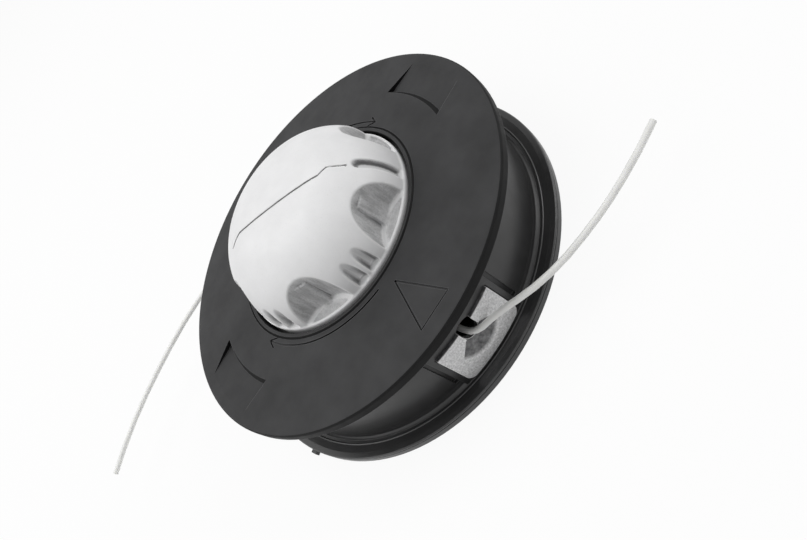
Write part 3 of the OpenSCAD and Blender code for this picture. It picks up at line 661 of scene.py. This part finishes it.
@dataclass(frozen=True)
class Studio:
    """Camera, lamps, floor and world."""

    eye: Point = (0.19479, 0.01042, 0.16618)
    right: Point = (0.5378, 0.5426, -0.6453)
    up: Point = (-0.3772, 0.8394, 0.3913)
    lens: float = 33.457
    floor_half: float = 3.0
    key_power: float = 6.0
    left_power: float = 1.1
    right_power: float = 2.7
    front_power: float = 0.9
    world_level: float = 0.27

    def camera(self) -> None:
        """Puts the camera where the photograph was taken from."""
        data = bpy.data.cameras.new("camera")
        data.sensor_fit = "HORIZONTAL"
        data.sensor_width = 36.0
        data.lens = self.lens
        data.clip_start, data.clip_end = 0.01, 20.0
        right, up = Vector(self.right).normalized(), Vector(self.up)
        back = right.cross(up).normalized()
        up = back.cross(right)
        turn = Matrix((right, up, back)).transposed().to_4x4()
        camera = bpy.data.objects.new("camera", data)
        camera.matrix_world = Matrix.Translation(self.eye) @ turn
        bpy.context.scene.collection.objects.link(camera)
        bpy.context.scene.camera = camera

    def lamp(self, name: str, place: Point, size: float, power: float) -> None:
        """Adds a square soft lamp that looks at the head.

        Args:
            name: name of the lamp.
            place: where it hangs.
            size: side of the square.
            power: power in watts.
        """
        data = bpy.data.lights.new(name, "AREA")
        data.size = size
        data.energy = power
        lamp = bpy.data.objects.new(name, data)
        aim = Vector((0.0, 0.0, 0.03)) - Vector(place)
        lamp.matrix_world = Matrix.Translation(place) @ aim.to_track_quat("-Z", "Y").to_matrix().to_4x4()
        bpy.context.scene.collection.objects.link(lamp)

    def seen_white(self, tree: bpy.types.NodeTree) -> bpy.types.NodeSocket:
        """Factor that is 1 for rays that see a surface or the world, straight, in gloss or through it.

        Args:
            tree: node tree of a material or the world.

        Returns:
            The factor socket.
        """
        path = tree.nodes.new("ShaderNodeLightPath")
        total = path.outputs["Is Camera Ray"]
        for name in ("Is Glossy Ray", "Is Transmission Ray"):
            most = tree.nodes.new("ShaderNodeMath")
            most.operation = "MAXIMUM"
            tree.links.new(total, most.inputs[0])
            tree.links.new(path.outputs[name], most.inputs[1])
            total = most.outputs["Value"]
        return total

    def world(self) -> None:
        """Makes the world, white to look at and gentler as light."""
        world = bpy.data.worlds.new("world")
        bpy.context.scene.world = world
        world.use_nodes = True
        tree = world.node_tree
        tree.nodes.clear()
        output = tree.nodes.new("ShaderNodeOutputWorld")
        mix = tree.nodes.new("ShaderNodeMixShader")
        for index, level in ((1, self.world_level), (2, 1.0)):
            light = tree.nodes.new("ShaderNodeBackground")
            light.inputs["Strength"].default_value = level
            light.inputs["Color"].default_value = (1.0, 1.0, 1.0, 1.0)
            tree.links.new(light.outputs["Background"], mix.inputs[index])
        tree.links.new(self.seen_white(tree), mix.inputs[0])
        tree.links.new(mix.outputs["Shader"], output.inputs["Surface"])

    def floor(self) -> None:
        """Makes the pale floor, which keeps the head's shadow."""
        bm = bmesh.new()
        bmesh.ops.create_grid(bm, x_segments=1, y_segments=1, size=self.floor_half,
                              matrix=Matrix.Translation((0.0, 0.0, -0.02 * MM)))
        data = bpy.data.meshes.new("floor")
        bm.to_mesh(data)
        bm.free()
        floor = bpy.data.objects.new("floor", data)
        bpy.context.scene.collection.objects.link(floor)
        material = bpy.data.materials.new("floor")
        material.use_nodes = True
        tree = material.node_tree
        tree.nodes.clear()
        output = tree.nodes.new("ShaderNodeOutputMaterial")
        matt = tree.nodes.new("ShaderNodeBsdfDiffuse")
        matt.inputs["Color"].default_value = (0.9, 0.9, 0.9, 1.0)
        glow = tree.nodes.new("ShaderNodeEmission")
        mix = tree.nodes.new("ShaderNodeMixShader")
        share = tree.nodes.new("ShaderNodeMath")
        share.operation = "MULTIPLY"
        share.inputs[1].default_value = 0.92
        tree.links.new(self.seen_white(tree), share.inputs[0])
        tree.links.new(share.outputs["Value"], mix.inputs[0])
        tree.links.new(matt.outputs["BSDF"], mix.inputs[1])
        tree.links.new(glow.outputs["Emission"], mix.inputs[2])
        tree.links.new(mix.outputs["Shader"], output.inputs["Surface"])
        data.materials.append(material)

    def build(self) -> None:
        """Sets up the whole studio."""
        self.camera()
        self.world()
        self.floor()
        self.lamp("key", (-0.3, -0.2, 0.95), 0.9, self.key_power)
        self.lamp("left", (-0.1, -0.9, 0.4), 0.5, self.left_power)
        self.lamp("right", (0.1, 0.9, 0.5), 0.5, self.right_power)
        self.lamp("front", (0.95, -0.1, 0.3), 0.8, self.front_power)
        bpy.context.scene.view_settings.view_transform = "Standard"


# ---------------------------------------------------------------- cutting line


@dataclass
class CuttingLine:
    """Nylon line: two free tails and the turns wound on the spool."""

    maker: Maker
    diameter: float = 2.0 * MM
    height: float = 14.7 * MM
    drop: float = 0.8 * MM
    face: float = 59.5 * MM
    route_near: Sequence[tuple[float, float]] = (
        (-6.9, -1.5), (-4.3, -1.1), (-1.9, -0.3), (-0.3, 0.9), (0.8, 2.6), (1.7, 5.4), (3.4, 9.4),
        (5.8, 13.8), (8.2, 18.8), (10.1, 24.2), (11.5, 30), (12.3, 36), (12.8, 42), (12.9, 48),
        (12.6, 54.5), (11.9, 61.8), (10.5, 70.9))
    route_far: Sequence[tuple[float, float]] = (
        (-6.9, -1.5), (-4.3, -1.1), (-1.9, -0.3), (-0.3, 0.9), (0.8, 2.6), (2, 5.4), (4.4, 9.6),
        (7.7, 15), (10.5, 21), (12.7, 28), (14.7, 36), (16.3, 45.4), (17.2, 55.6), (17.3, 66.4),
        (16.3, 77.4), (14.5, 88.4), (12.1, 99.2), (8.7, 109.8), (4.5, 119.4), (-0.6, 128.5))
    wound_from: float = 29.1 * MM
    layer_step: float = 1.94 * MM
    layers: int = 8
    rows: Sequence[tuple[float, float]] = ((1.15, 3.2), (2.1, 4.15))

    def path(self, route: Sequence[tuple[float, float]], side: int) -> list[Vector]:
        """Points of a tail in metres, which sags a little towards its cut end.

        Args:
            route: distances in millimetres out from the eyelet's face, and sideways from its slot.
            side: 1 at the near eyelet and -1 at the far one.

        Returns:
            The points.
        """
        last = len(route) - 1
        return [Vector((side * (self.face + out * MM), side * along * MM,
                        self.height - self.drop * (i / last) ** 2))
                for i, (out, along) in enumerate(route)]

    def tail(self, name: str, node: str, points: Sequence[Vector]) -> bpy.types.Object:
        """Makes one free tail.

        Args:
            name: name of the piece.
            node: CAD node that it replaces.
            points: its middle line.

        Returns:
            The piece.
        """
        curve = bpy.data.curves.new(name, "CURVE")
        curve.dimensions = "3D"
        curve.bevel_depth = self.diameter / 2
        curve.bevel_resolution = 4
        curve.use_fill_caps = True
        spline = curve.splines.new("POLY")
        spline.points.add(len(points) - 1)
        for knot, point in zip(spline.points, points):
            knot.co = (*point, 1.0)
        piece = bpy.data.objects.new(name, curve)
        bpy.context.scene.collection.objects.link(piece)
        self.maker.place(piece, Slot.NYLON, Body.HOUSING, [node])
        return piece

    def build_tails(self) -> None:
        """Makes both tails."""
        self.tail("tail_near", "line_tail_a", self.path(self.route_near, 1))
        self.tail("tail_far", "line_tail_b", self.path(self.route_far, -1))

    def turn(self, bm: bmesh.types.BMesh, radius: float, height: float) -> None:
        """Adds one closed turn of line.

        Args:
            bm: the bmesh.
            radius: radius of the turn's middle line.
            height: height of the turn's middle line.
        """
        place = Matrix.Translation((radius, 0.0, height)) @ Matrix.Rotation(math.radians(90), 4, "X")
        made = bmesh.ops.create_circle(bm, segments=10, radius=self.diameter / 2 * 0.97, matrix=place)
        rim = list({edge for vert in made["verts"] for edge in vert.link_edges})
        bmesh.ops.spin(bm, geom=[*made["verts"], *rim], cent=(0.0, 0.0, 0.0), axis=(0.0, 0.0, 1.0),
                       angle=math.tau, steps=72, use_merge=True)

    def build_coils(self) -> None:
        """Makes the wound line of both tracks, layer on layer."""
        for node, name in (("line_wound_lower", "wound_lower"), ("line_wound_upper", "wound_upper")):
            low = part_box(node)[0][2]
            bm = bmesh.new()
            for layer in range(self.layers):
                for row in self.rows[layer % 2]:
                    self.turn(bm, self.wound_from + layer * self.layer_step, low + row * MM)
            bmesh.ops.recalc_face_normals(bm, faces=bm.faces)
            self.maker.place(self.maker.mesh(name, bm), Slot.NYLON, Body.SPOOL, [node])


# ---------------------------------------------------------------- shell


@dataclass
class Shell:
    """Housing, front cover and eyelets, which keep their CAD shapes."""

    maker: Maker

    def build(self) -> None:
        """Dresses the outer pieces that don't turn."""
        self.maker.dress("housing", Slot.HOUSING)
        self.maker.dress("front_cover", Slot.COVER)
        for node in ("eyelet_a", "eyelet_b"):
            self.maker.dress(node, Slot.EYELET)


# ---------------------------------------------------------------- knob and spool


@dataclass
class CastKnob:
    """Cast knob: the CAD shape with cast roundings, sunk scoop floors and a scored loading mark."""

    maker: Maker
    turned: float = math.radians(60)
    rim_z: float = 31.8 * MM
    radius: float = 33.3 * MM
    height: float = 25.4 * MM
    power: float = 2.4
    rim_r: float = 33.6 * MM
    scoops: int = 6
    scoop_lead: float = math.radians(-33.8)
    scoop_axis: float = 40.1 * MM
    scoop_r: float = 12.5 * MM
    floor_z: float = 34.7 * MM
    floor_margin: float = 1.6 * MM
    floor_edge: float = 0.8 * MM
    floor_sink: float = 0.7 * MM
    # Recess value of the sunk floors, for a duller skin and partly painted shade, and depth below the skin
    # from which grooves get deeper painted shade.
    floor_dull_and_shade: float = 0.6
    groove_shade_from: float = 0.7 * MM
    crown_drop: float = 1.8 * MM
    crown_r: float = 200 * MM
    crown_soft: float = 0.35 * MM
    grain: float = 0.3 * MM
    rounding: int = 2
    kept: float = 0.41
    mark_route: Sequence[tuple[float, float]] = (
        (-19.7, -4.85), (-15.2, -2.4), (17.6, -5.2), (20.4, -3.6), (25.1, -4.75))
    mark_w: float = 0.55 * MM
    mark_depth: float = 0.35 * MM

    def dome_z(self, r: float) -> float:
        """Height of the dome's skin, with its nearly flat crown.

        Args:
            r: distance from the spin axis.

        Returns:
            The height.
        """
        share = min(1.0, r / self.radius)
        side = self.height * (1 - share ** self.power) ** (1 / self.power)
        top = self.height - self.crown_drop - r * r / (2 * self.crown_r)
        soft = self.crown_soft * math.log(1 + math.exp(-abs(side - top) / self.crown_soft))
        return self.rim_z + min(side, top) - soft

    def drum(self, name: str, x: float, radius: float, low: float, high: float) -> bpy.types.Object:
        """Makes an upright round cutter.

        Args:
            name: name of the object.
            x: distance of its axis along X.
            radius: its radius.
            low: height of its foot.
            high: height of its top.

        Returns:
            The cutter.
        """
        bm = bmesh.new()
        place = Matrix.Translation((x, 0.0, (low + high) / 2))
        bmesh.ops.create_cone(bm, cap_ends=True, segments=128, radius1=radius, radius2=radius,
                              depth=high - low, matrix=place)
        return self.maker.mesh(name, bm)

    def sink_floors(self, knob: bpy.types.Object) -> None:
        """Sinks the crescent floor of every scoop, and leaves a ledge round it.

        Args:
            knob: the knob.
        """
        low, high = self.floor_z - self.floor_sink, self.floor_z + 0.05 * MM
        for i in range(self.scoops):
            tool = self.drum("floor_cut", self.scoop_axis, self.scoop_r - self.floor_margin, low, high)
            inside = self.drum("floor_rim", 0.0, self.rim_r - self.floor_edge, low - MM, high + MM)
            self.maker.cut(tool, inside, "INTERSECT")
            angle = self.turned + self.scoop_lead + i * math.tau / self.scoops
            tool.data.transform(Matrix.Rotation(angle, 4, "Z"))
            self.maker.cut(knob, tool)

    def round_off(self, knob: bpy.types.Object) -> None:
        """Gives the knob's edges and corners the roundings of a casting.

        Args:
            knob: the knob.
        """
        remesh = knob.modifiers.new("skin", "REMESH")
        remesh.mode = "VOXEL"
        remesh.voxel_size = self.grain
        smooth = knob.modifiers.new("soft", "SMOOTH")
        smooth.factor = 0.5
        smooth.iterations = self.rounding
        thin = knob.modifiers.new("thin", "DECIMATE")
        thin.ratio = self.kept
        self.maker.settle(knob)

    def score_mark(self, knob: bpy.types.Object) -> None:
        """Scores the loading mark across the dome.

        Args:
            knob: the knob.
        """
        bm = bmesh.new()
        route = [Vector(spot) * MM for spot in self.mark_route]
        spots = [route[0]]
        for start, end in zip(route, route[1:]):
            count = max(2, round((end - start).length / MM))
            spots.extend(start.lerp(end, (i + 1) / count) for i in range(count))
        rings = []
        for i, spot in enumerate(spots):
            along = (spots[min(i + 1, len(spots) - 1)] - spots[max(i - 1, 0)]).normalized()
            across = Vector((-along.y, along.x)) * self.mark_w / 2
            low = self.dome_z(spot.length) - self.mark_depth
            corners = ((spot - across, low), (spot + across, low), (spot + across, low + 3 * MM),
                       (spot - across, low + 3 * MM))
            rings.append([bm.verts.new((flat.x, flat.y, z)) for flat, z in corners])
        for near, far in zip(rings, rings[1:]):
            for k in range(4):
                bm.faces.new((near[k], near[k - 1], far[k - 1], far[k]))
        bm.faces.new(rings[0])
        bm.faces.new(reversed(rings[-1]))
        bmesh.ops.rotate(bm, verts=bm.verts, cent=(0.0, 0.0, 0.0),
                         matrix=Matrix.Rotation(self.turned, 3, "Z"))
        bmesh.ops.recalc_face_normals(bm, faces=bm.faces)
        self.maker.cut(knob, self.maker.mesh("mark_cut", bm))

    def between_scoops(self, x: float, y: float) -> bool:
        """Whether a place lies between two scoops, where the finger grooves are.

        Args:
            x: place along X.
            y: place along Y.

        Returns:
            True outside all scoops.
        """
        pitch = math.tau / self.scoops
        off = (math.atan2(y, x) - self.turned - self.scoop_lead + pitch / 2) % pitch - pitch / 2
        r = math.hypot(x, y)
        return math.hypot(r * math.cos(off) - self.scoop_axis, r * math.sin(off)) > self.scoop_r + 0.4 * MM

    def note_recesses(self, knob: bpy.types.Object) -> None:
        """Writes how far each point lies in a recess: 0 on the skin, 1 on a wall, 2 deep in a groove. The
        finish darkens by it: on walls and sunk floors a duller skin and partly painted shade, and deep in the
        grooves painted shade.

        Args:
            knob: the knob.
        """
        values = []
        sunk_z = self.floor_z - self.floor_sink / 2
        for vert in knob.data.vertices:
            x, y, z = vert.co
            r = math.hypot(x, y)
            rise = max(0.0, min(1.0, (z - self.rim_z) / self.height))
            skin = self.radius * (1 - rise ** self.power) ** (1 / self.power)
            depth = skin - r
            slope = Vector((x, y, 0.0)).normalized() * (skin / self.radius) ** (self.power - 1) / self.radius
            slope.z = rise ** (self.power - 1) / self.height
            turned_off = 1 - max(0.0, vert.normal.dot(slope.normalized()))
            between = self.between_scoops(x, y)
            turned_off = max(turned_off * 4, (depth - (2.6 if between else 0.6) * MM) / MM)
            wall = min(1.0, max(0.0, turned_off)) * min(1.0, max(0.0, (depth - 0.3 * MM) / (0.5 * MM)))
            if between or z < self.floor_z + 0.8 * MM or depth < 0.8 * MM:
                wall *= 1 - vert.normal.z ** 2
            # Sunk floors: a duller skin, and partly painted shade.
            sunk = self.rim_z + 1.5 * MM < z < sunk_z and r < self.rim_r - self.floor_edge + 0.1 * MM
            inside = z < self.rim_z + 2 * MM or vert.normal.z < -0.3
            # Painted shade deeper down in the grooves.
            if between:
                wall += min(1.0, max(0.0, (depth - self.groove_shade_from) / (0.8 * MM))) * wall
            values.append(max(0.0 if inside else wall, self.floor_dull_and_shade if sunk else 0.0))
        knob.data.attributes.new("recess", "FLOAT", "POINT").data.foreach_set("value", values)

    def note_creases(self, knob: bpy.types.Object) -> None:
        """Writes how sharply each point's surroundings bend, above 0 on ridges and below 0 in corners, for
        the painted highlight on ridges and painted shade in corners.

        Args:
            knob: the knob.
        """
        data = knob.data
        count = len(data.vertices)
        spots = np.empty(count * 3)
        data.vertices.foreach_get("co", spots)
        spots = spots.reshape(-1, 3)
        normals = np.array([vert.normal for vert in data.vertices])
        ends = np.empty(len(data.edges) * 2, dtype=np.int64)
        data.edges.foreach_get("vertices", ends)
        ends = ends.reshape(-1, 2)
        steps = spots[ends[:, 1]] - spots[ends[:, 0]]
        lengths = np.maximum((steps ** 2).sum(axis=1), 1e-12)
        bend = np.zeros(count)
        weight = np.zeros(count)
        for side, sign in ((0, -1.0), (1, 1.0)):
            own = ends[:, side]
            np.add.at(bend, own, sign * (steps * normals[own]).sum(axis=1) * 2 / lengths)
            np.add.at(weight, own, 1.0)
        bend /= np.maximum(weight, 1.0)
        for _ in range(2):
            total = bend.copy()
            for side in (0, 1):
                np.add.at(total, ends[:, side], bend[ends[:, 1 - side]])
            bend = total / (weight + 1.0)
        # The scored mark and the sunk floors stay as they are, and ridges in recesses get less painted
        # highlight than those on the skin
        low = spots[:, 2] < self.floor_z + 0.6 * MM
        bend[(normals[:, 2] > 0.85) | (low & (bend < 0))] = 0.0
        hidden = np.empty(count)
        data.attributes["recess"].data.foreach_get("value", hidden)
        bend = np.where(bend > 0, bend * (1 - np.minimum(hidden, 1.0)), bend)
        data.attributes.new("crease", "FLOAT", "POINT").data.foreach_set("value", bend * MM)

    def build(self) -> bpy.types.Object:
        """Makes the knob.

        Returns:
            The piece.
        """
        knob = self.maker.mesh("cast_knob", self.maker.copy_of("knob"))
        self.sink_floors(knob)
        self.round_off(knob)
        self.score_mark(knob)
        self.note_recesses(knob)
        self.note_creases(knob)
        knob.data.shade_smooth()
        knob.data.set_sharp_from_angle(angle=math.radians(50))
        return self.maker.place(knob, Slot.CAST, Body.SPOOL, ["knob"])


@dataclass
class SpoolGroup:
    """Spool and the metal parts that turn with it, which keep their CAD shapes."""

    maker: Maker

    def build(self) -> None:
        """Dresses the spool's parts."""
        self.maker.dress("spool", Slot.SPOOL)
        self.maker.dress("spool_bush", Slot.BRASS)
        self.maker.dress("knob_screws", Slot.STEEL)


# ---------------------------------------------------------------- drive parts


@dataclass
class Spring:
    """Round wire spring under the spool, with closed end coils."""

    maker: Maker
    radius: float = 14.0 * MM
    wire: float = 1.8 * MM
    turns: float = 4.5
    closed: float = 0.75
    steps: int = 40
    travel: float = 5.0 * MM

    def rise(self, k: float, height: float) -> float:
        """Height of the wire's middle over its start.

        Args:
            k: turns from the start.
            height: height of the wire's middle from end to end.

        Returns:
            The height.
        """
        flat = self.closed * self.wire
        if k < self.closed:
            return k * self.wire
        if k > self.turns - self.closed:
            return height - (self.turns - k) * self.wire
        return flat + (k - self.closed) / (self.turns - 2 * self.closed) * (height - 2 * flat)

    def build(self) -> bpy.types.Object:
        """Makes the spring at its rest length; on the head it shortens when the knob is bumped.

        Returns:
            The piece.
        """
        low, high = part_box("spring")[0][2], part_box("spring")[1][2]
        height = high - low - self.wire
        curve = bpy.data.curves.new("spring", "CURVE")
        curve.dimensions = "3D"
        curve.bevel_depth = self.wire / 2
        curve.bevel_resolution = 4
        curve.use_fill_caps = True
        count = round(self.turns * self.steps)
        spline = curve.splines.new("POLY")
        spline.points.add(count)
        for i, knot in enumerate(spline.points):
            k = i / self.steps
            knot.co = (self.radius * math.cos(math.tau * k), self.radius * math.sin(math.tau * k),
                       low + self.wire / 2 + self.rise(k, height), 1.0)
        wire = bpy.data.objects.new("spring_wire", curve)
        bpy.context.scene.collection.objects.link(wire)
        bpy.context.view_layer.update()
        data = bpy.data.meshes.new_from_object(wire.evaluated_get(bpy.context.evaluated_depsgraph_get()))
        bpy.data.objects.remove(wire)
        data.shade_smooth()
        piece = bpy.data.objects.new("coil_spring", data)
        bpy.context.scene.collection.objects.link(piece)
        self.maker.place(piece, Slot.STEEL, Body.HOUSING, ["spring"])
        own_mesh(piece)
        return piece


@dataclass
class ArborNut:
    """Hexagonal nut with chamfered ends and a left-hand thread."""

    maker: Maker
    minor_r: float = 4.325 * MM
    major_r: float = 5.0 * MM
    pitch: float = 1.25 * MM
    start: float = math.radians(1.3)
    steps: int = 40

    def coil(self, low: float, high: float) -> bpy.types.Object:
        """Makes the coil that cuts the thread's groove.

        Args:
            low: height of the nut's foot.
            high: height of the nut's top.

        Returns:
            The cutter.
        """
        bm = bmesh.new()
        inner, half = self.minor_r - 0.5 * MM, self.pitch * 0.46
        start = high + self.pitch
        turns = math.ceil((high - low) / self.pitch) + 2
        crest = self.pitch * 0.05
        section = ((inner, start - half), (self.major_r, start - crest), (self.major_r, start + crest),
                   (inner, start + half))
        face = bm.faces.new([bm.verts.new((r, 0.0, z)) for r, z in section])
        bmesh.ops.spin(bm, geom=[face], cent=(0.0, 0.0, 0.0), axis=(0.0, 0.0, 1.0),
                       dvec=(0.0, 0.0, -self.pitch / self.steps), angle=math.tau * turns,
                       steps=self.steps * turns)
        # The coil starts between the corners of the bore, so that no edges of the two coincide
        bmesh.ops.rotate(bm, verts=bm.verts, cent=(0.0, 0.0, 0.0), matrix=Matrix.Rotation(self.start, 3, "Z"))
        bmesh.ops.recalc_face_normals(bm, faces=bm.faces)
        return self.maker.mesh("thread_cut", bm)

    def build(self) -> bpy.types.Object:
        """Makes the nut.

        Returns:
            The piece.
        """
        bm = self.maker.copy_of("arbor_nut")
        low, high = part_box("arbor_nut")[0][2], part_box("arbor_nut")[1][2]
        nut = self.maker.mesh("threaded_nut", bm)
        self.maker.cut(nut, self.coil(low, high))
        nut.data.shade_smooth()
        nut.data.set_sharp_from_angle(angle=math.radians(25))
        return self.maker.place(nut, Slot.STEEL, Body.HOUSING, ["arbor_nut"])


@dataclass
class InnerParts:
    """Fasteners, washers and index ring inside the housing, which keep their CAD shapes."""

    maker: Maker
    steel: Sequence[str] = ("arbor_washer", "nut_circlip", "index_ring_screws", "spring_seat",
                            "thrust_washer")

    def build(self) -> None:
        """Dresses the inner pieces."""
        for node in self.steel:
            self.maker.dress(node, Slot.STEEL)
        self.maker.dress("index_ring", Slot.INDEX)


def main() -> None:
    """Builds the head, piece by piece."""
    Studio().build()
    maker = Maker(Finishes())
    line = CuttingLine(maker)
    line.build_tails()
    Shell(maker).build()
    CastKnob(maker).build()
    SpoolGroup(maker).build()
    line.build_coils()
    Spring(maker).build()
    ArborNut(maker).build()
    InnerParts(maker).build()


if __name__ == "__main__":
    logging.basicConfig(level=logging.INFO, format="%(name)s: %(message)s")
    main()
